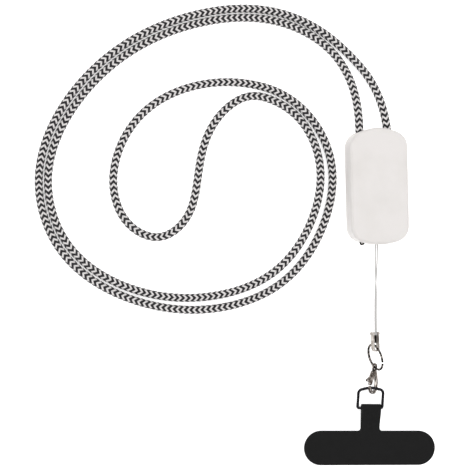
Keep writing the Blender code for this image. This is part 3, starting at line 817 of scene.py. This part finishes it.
@dataclass
class WhiteCase:
    """The moulded case: two shells that meet at a fine seam, and the metal tip below it."""

    width: float = 29.6 * MM
    height: float = 58.2 * MM
    thickness: float = 14.0 * MM
    wall: float = 1.8 * MM
    rim: float = 1.5 * MM
    top_arch: float = 24.0 * MM
    bottom_arch: float = 30.0 * MM
    corner: float = 8.0 * MM
    seam: float = 0.12 * MM
    seam_rim: float = 0.22 * MM
    turn: float = math.radians(1.3)
    bore: float = 2.4 * MM
    bore_depth: float = 18.0 * MM
    string_slot: Pair = (1.125 * MM, 0.65 * MM)
    slot_reach: float = 4.5 * MM
    string_x: float = -0.1 * MM
    tip_x: float = -8.2 * MM
    tip_wire: float = 1.0 * MM
    tip_width: float = 2.6 * MM
    tip_reach: float = 1.4 * MM
    tip_depth: float = 4.0 * MM
    tip_room: float = 0.2 * MM
    tip_straight: float = 0.3 * MM

    def outline(self, inset: float) -> list:
        """The case's outline, drawn in by an inset.

        Args:
            inset: How far it is drawn in.

        Returns:
            The outline as pairs.
        """
        half = self.width / 2.0 - inset
        corner = self.corner - inset
        pairs = []
        for sign, arch in ((1.0, self.top_arch - inset), (-1.0, self.bottom_arch - inset)):
            middle = self.height / 2.0 - inset - arch
            reach = half - corner
            rise = math.sqrt((arch - corner) ** 2 - reach ** 2)
            meet = math.atan2(rise, reach)
            right = arc((reach, middle + rise), corner, 0.0, meet, 14)
            crown = arc((0.0, middle), arch, meet, math.pi - meet, 30)
            left = arc((-reach, middle + rise), corner, math.pi - meet, math.pi, 14)
            pairs += [(sign * x, sign * y) for x, y in right + crown[1:-1] + left]
        return pairs

    def cutters(self, cable: NeckCable) -> list[tuple[Cut, Object]]:
        """The hollow and the openings that each shell loses.

        Args:
            cable: The cable whose ends go into the case.

        Returns:
            The cuts in order.
        """
        middle = self.thickness / 2.0
        lift = Matrix.Rotation(self.turn, 4, "Z") @ Matrix.Translation((0.0, 0.0, middle))
        half = middle - self.wall
        cuts = [(Cut.REMOVE, blank("hollow", self.outline(self.wall), -half, half, lift))]
        for name, ends in (("first_bore", cable.first_exit), ("second_bore", cable.second_exit)):
            start = Vector((*ends[0], 0.0)) * MM
            ahead = Vector((*ends[1], 0.0)) * MM - start
            place = Matrix.Translation(start + Vector((0.0, 0.0, middle)))
            place = place @ ahead.to_track_quat("Z", "Y").to_matrix().to_4x4()
            cuts.append((Cut.REMOVE, drum(name, self.bore, self.bore_depth, place)))
        bottom = -self.height / 2.0
        tip_slot = (self.tip_width / 2.0 + self.tip_room, self.tip_wire / 2.0 + self.tip_room)
        for name, x, (wide, tall), place in (
                ("string_slot", self.string_x, self.string_slot, Matrix.Identity(4)),
                ("tip_slot", self.tip_x, tip_slot, Matrix.Rotation(self.turn, 4, "Z"))):
            cuts.append((Cut.REMOVE, block(name, (x - wide, bottom - self.wall, middle - tall),
                                           (x + wide, bottom + self.slot_reach, middle + tall), place)))
        return cuts

    def build(self, cable: NeckCable) -> list[Object]:
        """Makes both shells.

        Args:
            cable: The cable whose ends go into the case.

        Returns:
            The back and the front shell.
        """
        middle = self.thickness / 2.0
        turned = Matrix.Rotation(self.turn, 4, "Z")
        shells = []
        for name, low, high, rims, node in (
                ("back_shell", 0.0, middle - self.seam / 2.0, (self.seam_rim, self.rim), "case_back_shell"),
                ("front_shell", middle + self.seam / 2.0, self.thickness, (self.rim, self.seam_rim),
                 "case_front_shell")):
            shell = blank(name, self.outline(0.0), low, high, turned, *rims, segments=6)
            carve(shell, self.cutters(cable))
            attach(shell, BODY)
            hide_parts(node)
            shells.append(shell)
        return shells

    def build_tip(self) -> Object:
        """Makes the U of wire below the case.

        Returns:
            The tip.
        """
        turned = Matrix.Rotation(self.turn, 3, "Z")
        edge = -(self.height / 2.0 - self.bottom_arch + math.sqrt(self.bottom_arch ** 2 - self.tip_x ** 2))
        half = (self.tip_width - self.tip_wire) / 2.0
        bend = edge - self.tip_reach + self.tip_wire / 2.0 + half
        path = [(self.tip_x - half, edge + self.tip_depth), (self.tip_x - half, bend + self.tip_straight)]
        path += arc((self.tip_x, bend), half, math.pi, 2.0 * math.pi, 20)
        path += [(self.tip_x + half, bend + self.tip_straight), (self.tip_x + half, edge + self.tip_depth)]
        points = np.array([turned @ Vector((x, y, self.thickness / 2.0)) for x, y in path])
        made = bent_wire("metal_tip", points, 70, self.tip_wire)
        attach(made, BODY)
        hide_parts("case_metal_tip")
        return made

    def dress(self, shells: Sequence[Object], plastic: Material) -> None:
        """Gives the shells their plastic."""
        for shell in shells:
            shell.data.materials.clear()
            shell.data.materials.append(plastic)
            soften(shell, 32.0)
            shell.modifiers.new("even_normals", "WEIGHTED_NORMAL").keep_sharp = True


# String and clamp


@dataclass
class StringClamp:
    """The folded strip that holds the string's two strands in its rolled ends.

    The length, the sheet, the lobe and the grip are those of its outline, in millimetres.
    """

    length: float = 9.9
    strip: float = 2.2 * MM
    sheet: float = 0.4
    lobe: float = 1.3
    neck: float = 1.1
    grip: float = 1.125
    back: float = 0.3 * MM
    back_top: float = 1.3 * MM
    back_foot: float = 5.65 * MM
    rim: float = 0.10 * MM
    overlap: float = 0.02 * MM
    top: Triple = (-1.5 * MM, -72.8 * MM, 9.2 * MM)
    roll: float = math.radians(33.0)
    yaw: float = math.radians(2.5)

    def place(self) -> Matrix:
        """The clamp's own frame: x across its legs, y up towards the string."""
        turned = Matrix.Rotation(self.yaw, 4, "Z") @ Matrix.Rotation(self.roll, 4, "Y")
        return Matrix.Translation(self.top) @ turned

    def build(self) -> Object:
        """Makes the clamp.

        Returns:
            The clamp.
        """
        lobe = self.lobe / 2.0
        sheet = self.sheet / 2.0
        leg = self.grip + lobe
        foot = leg + sheet - self.length
        side = [(leg, -lobe, lobe), (leg, -1.6 * lobe, lobe * 0.9), (leg, -3.4 * lobe, sheet * self.neck),
                (leg, -4.5 * lobe, sheet), (leg, -5.5 * lobe, sheet), (leg, -0.6 * self.length, sheet),
                (leg, foot, sheet)]
        turn = [(leg * math.cos(a), foot - leg * math.sin(a), sheet)
                for a in np.linspace(0.0, math.pi, 7)[1:-1]]
        rows = side + turn + [(-x, y, half) for x, y, half in side[::-1]]
        outline = [(x * MM, y * MM) for x, y in ribbon(rows, 8)]
        behind = -self.strip / 2.0
        made = blank("clamp", outline, behind, self.strip / 2.0, self.place(), self.rim, self.rim, 3)
        # the plate behind the legs is a dark sheet of painted shade: it stands for the shade inside the slot
        # between the legs
        carve(made, [(Cut.ADD, block("back", (-leg * MM, -self.back_foot, behind + self.overlap),
                                     (leg * MM, -self.back_top, behind + self.back), self.place()))])
        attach(made, BODY)
        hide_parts("string_clamp")
        return made

    def dress(self, item: Object, plating: Material, slot_shade_paint: Material) -> None:
        """Plates the clamp and darkens the plate behind its legs with painted shade.

        Args:
            item: The clamp.
            plating: Its plating.
            slot_shade_paint: The dark finish that paints the shade inside the slot onto the plate.
        """
        dress_metal(item, plating)
        item.data.materials.append(slot_shade_paint)
        # the plate's front faces take the painted slot shade
        own = self.place().inverted()
        level = self.back - self.strip / 2.0
        for face in item.data.polygons:
            if abs((own @ face.center).z - level) < 0.01 * MM:
                face.material_index = 1


@dataclass
class DoubledString:
    """The white string, doubled and lightly twisted, from the case to the clamp."""

    diameter: float = 0.7 * MM
    pitch: float = 0.95 * MM
    sag: float = 1.2 * MM
    start: Triple = (-0.1 * MM, -25.9 * MM, 7.0 * MM)
    end: Triple = (-0.15 * MM, -1.7 * MM, 0.5 * MM)
    lead: Triple = (0.9 * MM, 2.8 * MM, 0.5 * MM)
    twist_share: float = 0.45
    path_points: int = 97
    sides: int = 18
    length: float = 0.050
    ring_step: float = 0.19 * MM
    relief: float = 0.20

    def path(self, side: Strand, clamp: StringClamp) -> np.ndarray:
        """Middle line of one strand.

        Args:
            side: Which strand.
            clamp: The clamp that holds its lower end.

        Returns:
            Its points in metres.
        """
        start = Vector(self.start)
        end = clamp.place() @ Vector(self.end)
        lead = clamp.place() @ Vector(self.lead)
        points = []
        for share in np.linspace(0.0, 1.0, self.path_points):
            rest = 1.0 - share
            axis = start * rest ** 2 + lead * 2.0 * share * rest + end * share ** 2
            eased = share * share * (3.0 - 2.0 * share)
            axis.z = start.z * (1.0 - eased) + end.z * eased - self.sag * math.sin(math.pi * share) ** 2
            turned = min(share / self.twist_share, 1.0)
            angle = turned * turned * (3.0 - 2.0 * turned) * (math.pi - clamp.roll)
            offset = Vector((math.cos(angle), 0.0, math.sin(angle))) * side.value * self.pitch / 2.0
            points.append(axis + offset)
        return np.array(points)

    def radius(self, ring: np.ndarray, share: np.ndarray) -> np.ndarray:
        """Radius of the string: three rounded plies that turn along it."""
        turned = np.mod((share - ring / STRING_LAY) * float(STRING_PLIES), 1.0)
        return self.diameter / 2.0 * (1.0 - self.relief + self.relief * np.abs(np.sin(math.pi * turned)))

    def build(self, clamp: StringClamp, finish: Material) -> list[Object]:
        """Makes both strands.

        Args:
            clamp: The clamp that holds their lower ends.
            finish: Their yarn.

        Returns:
            The strands.
        """
        made = []
        for name, side in (("string_left", Strand.FIRST), ("string_right", Strand.SECOND)):
            path = self.path(side, clamp)
            stations = np.arange(0.0, reach_along(path)[-1], self.ring_step)
            item = sleeve(f"nylon_{name}", path, stations, self.radius, self.sides, map_name="ply")
            item.data.materials.append(finish)
            soften(item, 80.0)
            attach(item, BODY)
            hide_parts(name)
            made.append(item)
        return made


# Ring and clasp


@dataclass
class JumpRing:
    """The open wire ring between the clamp and the clasp."""

    diameter: float = 13.1 * MM
    wire: float = 1.1 * MM
    centre: Pair = (-0.65 * MM, -85.6 * MM)
    turn: float = math.radians(16.0)
    lean: float = 0.27
    split_at: float = math.radians(119.5)
    split: float = 1.4 * MM

    def place(self) -> Matrix:
        """The ring's own frame: x along its level diameter, y up its leaning one."""
        level = Vector((-math.sin(self.turn), math.cos(self.turn), 0.0))
        beside = Vector((math.cos(self.turn), math.sin(self.turn), 0.0))
        rise = beside * self.lean + Vector((0.0, 0.0, math.sqrt(1.0 - self.lean ** 2)))
        height = self.diameter / 2.0 * rise.z + self.wire / 2.0
        frame_turn = Matrix((level, rise, level.cross(rise))).transposed().to_4x4()
        return Matrix.Translation((*self.centre, height)) @ frame_turn

    def point(self, angle: float) -> Vector:
        """A point on the middle of the wire."""
        reach = self.diameter / 2.0
        return self.place() @ Vector((reach * math.cos(angle), reach * math.sin(angle), 0.0))

    def build(self) -> Object:
        """Spins the wire round, short of a full turn.

        Returns:
            The ring.
        """
        half = self.split / self.diameter
        shape = bmesh.new()
        bmesh.ops.create_circle(shape, cap_ends=False, segments=16, radius=self.wire / 2.0)
        bmesh.ops.rotate(shape, verts=shape.verts, cent=(0.0, 0.0, 0.0),
                         matrix=Matrix.Rotation(math.pi / 2.0, 3, "X"))
        bmesh.ops.translate(shape, verts=shape.verts, vec=(self.diameter / 2.0, 0.0, 0.0))
        bmesh.ops.rotate(shape, verts=shape.verts, cent=(0.0, 0.0, 0.0),
                         matrix=Matrix.Rotation(self.split_at + half, 3, "Z"))
        bmesh.ops.spin(shape, geom=shape.edges[:], cent=(0.0, 0.0, 0.0), axis=(0.0, 0.0, 1.0),
                       angle=2.0 * math.pi - 2.0 * half, steps=96)
        bmesh.ops.holes_fill(shape, edges=[e for e in shape.edges if e.is_boundary], sides=0)
        bmesh.ops.recalc_face_normals(shape, faces=shape.faces)
        bmesh.ops.transform(shape, matrix=self.place(), verts=shape.verts)
        made = new_object("split_ring", shape)
        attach(made, BODY)
        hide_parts("jump_ring")
        return made


@dataclass
class LobsterClasp:
    """The cast clasp: an eye on the ring, an arm that ends in a hook, and a sprung lever.

    The pivot is x and y, and each row is x, y and half the width there, in millimetres.
    """

    eye_at: float = math.radians(217.0)
    slack: float = 0.02 * MM
    heading: Triple = (-0.081, -0.988, 0.06)
    twist: float = math.radians(46.0)
    body: float = 2.2 * MM
    arm: float = 1.5 * MM
    eye: float = 2.05 * MM
    eye_hole: float = 1.38 * MM
    eye_thickness: float = 1.0 * MM
    lever: float = 1.8 * MM
    tongue: float = 0.55 * MM
    slot: float = 1.1 * MM
    pin: float = 0.45 * MM
    pin_hole: float = 0.55 * MM
    pin_proud: float = 0.12 * MM
    pin_rim: float = 0.05 * MM
    pivot: Pair = (0.9, 3.0)
    gap: float = 0.3 * MM
    rim: float = 0.42 * MM
    eye_rim: float = 0.3 * MM
    arm_rows: tuple = (
        (0.0, 1.2, 0.9), (-0.25, 2.2, 1.15), (-1.2, 3.8, 1.0), (-2.1, 6.0, 0.8), (-2.5, 8.4, 0.75),
        (-2.3, 10.7, 0.75), (-1.4, 12.2, 0.75), (0.5, 12.75, 0.75), (2.5, 12.0, 0.75), (3.4, 10.2, 0.65))
    shoulder_rows: tuple = ((0.0, 2.2, 0.9), (0.45, 2.6, 1.0), (0.9, 3.0, 1.15))
    lever_rows: tuple = ((0.9, 3.0, 0.95), (1.75, 4.3, 1.25), (2.5, 5.8, 1.3), (3.0, 7.3, 1.05), (3.25, 8.6, 0.6))
    nub_rows: tuple = ((3.3, 5.8, 0.95), (4.7, 6.4, 0.85), (5.85, 6.75, 0.7))

    def place(self, ring: JumpRing) -> Matrix:
        """The clasp's own frame: x towards the lever, y towards the hook.

        Args:
            ring: The ring that its eye hangs on.

        Returns:
            The frame.
        """
        along = Vector(self.heading).normalized()
        across = Vector((-math.cos(self.twist), 0.0, math.sin(self.twist)))
        across = (across - along * across.dot(along)).normalized()
        turned = Matrix((across, along, across.cross(along))).transposed().to_4x4()
        return Matrix.Translation(ring.point(self.eye_at) + along * self.slack) @ turned

    def pivot_place(self, ring: JumpRing) -> Matrix:
        """The clasp's frame, moved to the lever's pin."""
        return self.place(ring) @ Matrix.Translation((self.pivot[0] * MM, self.pivot[1] * MM, 0.0))

    def plate(self, name: str, rows: Sequence, thickness: float, place: Matrix, rim: float) -> Object:
        """One flat part of the clasp with rounded edges.

        Args:
            name: The object's name.
            rows: Its middle line and half widths in millimetres.
            thickness: Its thickness.
            place: The clasp's frame.
            rim: Rounding of its edges.

        Returns:
            The part.
        """
        outline = [(x * MM, y * MM) for x, y in ribbon(rows, 7)]
        return blank(name, outline, -thickness / 2.0, thickness / 2.0, place, rim, rim, 4)

    def build(self, ring: JumpRing) -> Object:
        """Makes the body with its eye, slot and pin.

        Args:
            ring: The ring that its eye hangs on.

        Returns:
            The body.
        """
        place = self.place(ring)
        pivot = self.pivot_place(ring)
        made = self.plate("clasp_casting", self.arm_rows, self.arm, place, self.rim)
        carve(made, [
            (Cut.ADD, self.plate("shoulder", self.shoulder_rows, self.body, place, self.rim * 0.9)),
            (Cut.ADD, drum("eye", self.eye, self.eye_thickness, place, 56, self.eye_rim)),
            (Cut.REMOVE, drum("eye_hole", self.eye_hole, self.body * 2.0, place, 40)),
            (Cut.REMOVE, drum("lever_slot", self.lever_rows[0][2] * MM + self.gap, self.slot, pivot)),
            (Cut.REMOVE, self.plate("lever_sweep", self.lever_rows[:3], self.slot, place, 0.0)),
            (Cut.ADD, drum("pin", self.pin, self.body + self.pin_proud, pivot, 28, self.pin_rim)),
        ])
        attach(made, BODY)
        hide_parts("clasp_body")
        return made

    def build_lever(self, ring: JumpRing) -> Object:
        """Makes the lever with its thumb nub.

        Args:
            ring: The ring that the clasp hangs on.

        Returns:
            The lever.
        """
        place = self.place(ring)
        pivot = self.pivot_place(ring)
        made = self.plate("lever", self.lever_rows, self.lever, place, self.rim)
        clear = self.shoulder_rows[-1][2] * MM + self.gap
        cheek = self.body / 2.0
        steps = [(Cut.ADD, self.plate("nub", self.nub_rows, self.lever, place, self.rim * 0.9))]
        for name, sign in (("upper_relief", 1.0), ("lower_relief", -1.0)):
            middle = sign * (self.tongue / 2.0 + cheek / 2.0)
            relief = pivot @ Matrix.Translation((0.0, 0.0, middle))
            steps.append((Cut.REMOVE, drum(name, clear, cheek, relief)))
        steps.append((Cut.REMOVE, drum("pin_hole", self.pin_hole, self.body * 2.0, pivot, 28)))
        carve(made, steps)
        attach(made, LEVER_BODY)
        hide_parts("clasp_lever")
        return made


# Tether


@dataclass
class Tether:
    """The D ring and the T-shaped fabric patch whose stem folds round it."""

    wire: float = 1.4 * MM
    width: float = 14.1 * MM
    length: float = 11.85 * MM
    corner: float = 2.2 * MM
    foot_corner: float = 0.75 * MM
    arch: float = 0.7 * MM
    top: Pair = (-2.24 * MM, -100.6 * MM)
    top_height: float = 4.0 * MM
    patch_width: float = 67.4 * MM
    patch_height: float = 17.35 * MM
    sheet: float = 1.0 * MM
    patch_body: float = 1.2 * MM
    stem_width: float = 9.8 * MM
    stem_length: float = 13.65 * MM
    offset: float = 0.55 * MM
    fillet: float = 1.3 * MM
    clearance: float = 0.3 * MM
    turn: float = math.radians(-0.9)
    edge: float = 0.25 * MM
    fold_edge: float = 0.2 * MM
    fold_lift: float = 0.02 * MM
    fold_land: float = 0.95
    lap: float = 11.0 * MM

    def place(self) -> Matrix:
        """Frame of the D ring and the patch: origin under the top of the D ring."""
        return Matrix.Translation((*self.top, 0.0)) @ Matrix.Rotation(self.turn, 4, "Z")

    def bar(self) -> Pair:
        """Place along y and height of the D ring's straight bar."""
        low = self.sheet + self.clearance + self.wire / 2.0
        run = math.sqrt((self.length - self.wire) ** 2 - (self.top_height - low) ** 2)
        return -self.wire / 2.0 - run, low

    def build_ring(self) -> Object:
        """Makes the D ring.

        Returns:
            The ring.
        """
        half = (self.width - self.wire) / 2.0
        length = self.length - self.wire
        reach = half - self.corner
        foot = half - self.foot_corner
        bar_y, low = self.bar()
        run = -self.wire / 2.0 - bar_y
        rise = self.top_height - low
        quarter = math.pi / 2.0
        path = [(x, 0.0) for x in np.linspace(0.0, foot, 8)[:-1]]
        path += arc((foot, self.foot_corner), self.foot_corner, -quarter, 0.0, 12)
        path += arc((reach, length - self.arch - self.corner), self.corner, 0.0, quarter, 12)
        path += [(x, length - self.arch * (x / reach) ** 2) for x in np.linspace(reach, -reach, 21)[1:-1]]
        path += arc((-reach, length - self.arch - self.corner), self.corner, quarter, math.pi, 12)
        path += arc((-foot, self.foot_corner), self.foot_corner, math.pi, 3.0 * quarter, 12)
        path += [(x, 0.0) for x in np.linspace(-foot, 0.0, 8)[1:]]
        place = self.place()
        points = np.array([place @ Vector((x, bar_y + run * y / length, low + rise * y / length))
                           for x, y in path])
        made = bent_wire("black_d_ring", points, 181, self.wire, closed=True)
        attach(made, BODY)
        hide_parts("d_ring")
        return made

    def build_patch(self) -> Object:
        """Makes the pill, its stem and the fold round the bar.

        Returns:
            The patch.
        """
        place = self.place() @ Matrix.Translation((self.offset, 0.0, 0.0))
        bar_y, low = self.bar()
        outer = self.wire / 2.0 + self.clearance + self.sheet
        edge = bar_y + outer - self.stem_length
        radius = self.patch_height / 2.0
        middle = edge - radius
        reach = self.patch_width / 2.0 - radius
        stem = self.stem_width / 2.0
        land = edge + self.fillet
        quarter = math.pi / 2.0
        outline = arc((reach, middle), radius, -quarter, quarter, 40)
        outline += arc((stem + self.fillet, land), self.fillet, 3.0 * quarter, math.pi, 8)
        outline += [(stem, bar_y), (-stem, bar_y)]
        outline += arc((-stem - self.fillet, land), self.fillet, 0.0, -quarter, 8)
        outline += arc((-reach, middle), radius, quarter, 3.0 * quarter, 40)
        made = blank("fabric_patch", outline, 0.0, self.patch_body, place, self.edge, self.edge, 3)

        profile = [(land, self.fold_lift), (bar_y, self.fold_lift)]
        profile += arc((bar_y, low), outer, -quarter, quarter, 24)[1:]
        peak = low + outer
        shares = np.linspace(0.0, 1.0, 17)[1:]
        profile += [(bar_y + (land - bar_y) * s,
                     peak + (self.patch_body * self.fold_land - peak) * (0.5 - 0.5 * math.cos(math.pi * s)))
                    for s in shares]
        upright = Matrix(((0.0, 0.0, 1.0), (1.0, 0.0, 0.0), (0.0, 1.0, 0.0))).to_4x4()
        fold = blank("fold", profile, -stem, stem, place @ upright, self.fold_edge, self.fold_edge, 3)
        tunnel_place = place @ Matrix.Translation((0.0, bar_y, low)) @ Matrix.Rotation(quarter, 4, "Y")
        tunnel = drum("tunnel", self.wire / 2.0 + self.clearance, self.stem_width * 1.5, tunnel_place)
        carve(made, [(Cut.ADD, fold), (Cut.REMOVE, tunnel)])
        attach(made, BODY)
        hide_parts("tether_patch")
        return made


def dress_metal(item: Object, finish: Material) -> None:
    """Gives a metal piece its plating and smooth shading.

    Args:
        item: The piece.
        finish: Its plating.
    """
    item.data.materials.clear()
    item.data.materials.append(finish)
    soften(item, 38.0)


def main() -> None:
    """Builds the stage, the cords and then every other piece."""
    logging.basicConfig(level=logging.INFO, format="%(name)s: %(message)s")
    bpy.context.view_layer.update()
    studio = Studio()
    studio.place_camera()
    # each plating's second colour is its painted dark reflection, laid as clouds over the bright one
    nickel = PlatedMetal("satin_nickel_plate", "#d6d1cb", "#b5aea7", 0.6, 0.1).make()
    cast_nickel = PlatedMetal("cast_nickel_plate", "#c9c2bb", "#4f4742", 0.16, 0.2,
                              (1300.0, 260.0, 1300.0), 0.48).make()
    wire_nickel = PlatedMetal("nickel_wire", "#8f8882", "#262220", 0.3, 0.15, painted_dark_share=0.48).make()
    black_nickel = PlatedMetal("black_nickel_plate", "#2b2a2d", "#1d1c1f", 0.24, 0.12).make()
    # painted shade: a dark finish for the plate behind the clamp's legs, standing for the shade inside the slot
    slot_shade_paint = PlatedMetal("painted_slot_shade", "#2f2b28", "#1d1a18", 0.5, 0.2).make()

    cable = NeckCable()
    cable_item = cable.build()
    cable.dress(cable_item, BraidedYarn().make())
    LOG.info("cable: %d faces", len(cable_item.data.polygons))
    clamp = StringClamp()
    strings = DoubledString().build(clamp, TwistedNylon().make())
    LOG.info("string: %d strands", len(strings))

    case = WhiteCase()
    shells = case.build(cable)
    case.dress(shells, MouldedPlastic().make())
    LOG.info("case: %s", ", ".join(shell.name for shell in shells))
    ring = JumpRing()
    clasp = LobsterClasp()
    tether = Tether()
    clamp_item = clamp.build()
    clamp.dress(clamp_item, nickel, slot_shade_paint)
    for item, finish in ((case.build_tip(), wire_nickel), (ring.build(), wire_nickel),
                         (clasp.build(ring), cast_nickel), (clasp.build_lever(ring), cast_nickel)):
        dress_metal(item, finish)
        LOG.info("%s: %d faces", item.name, len(item.data.polygons))
    LOG.info("%s: %d faces", clamp_item.name, len(clamp_item.data.polygons))
    dress_metal(tether.build_ring(), black_nickel)
    patch = tether.build_patch()
    dress_metal(patch, CoatedFabric().make())
    LOG.info("tether: D ring and %s", patch.name)

    studio.lay_floor(LightTable().make())
    studio.light()


if __name__ == "__main__":
    main()
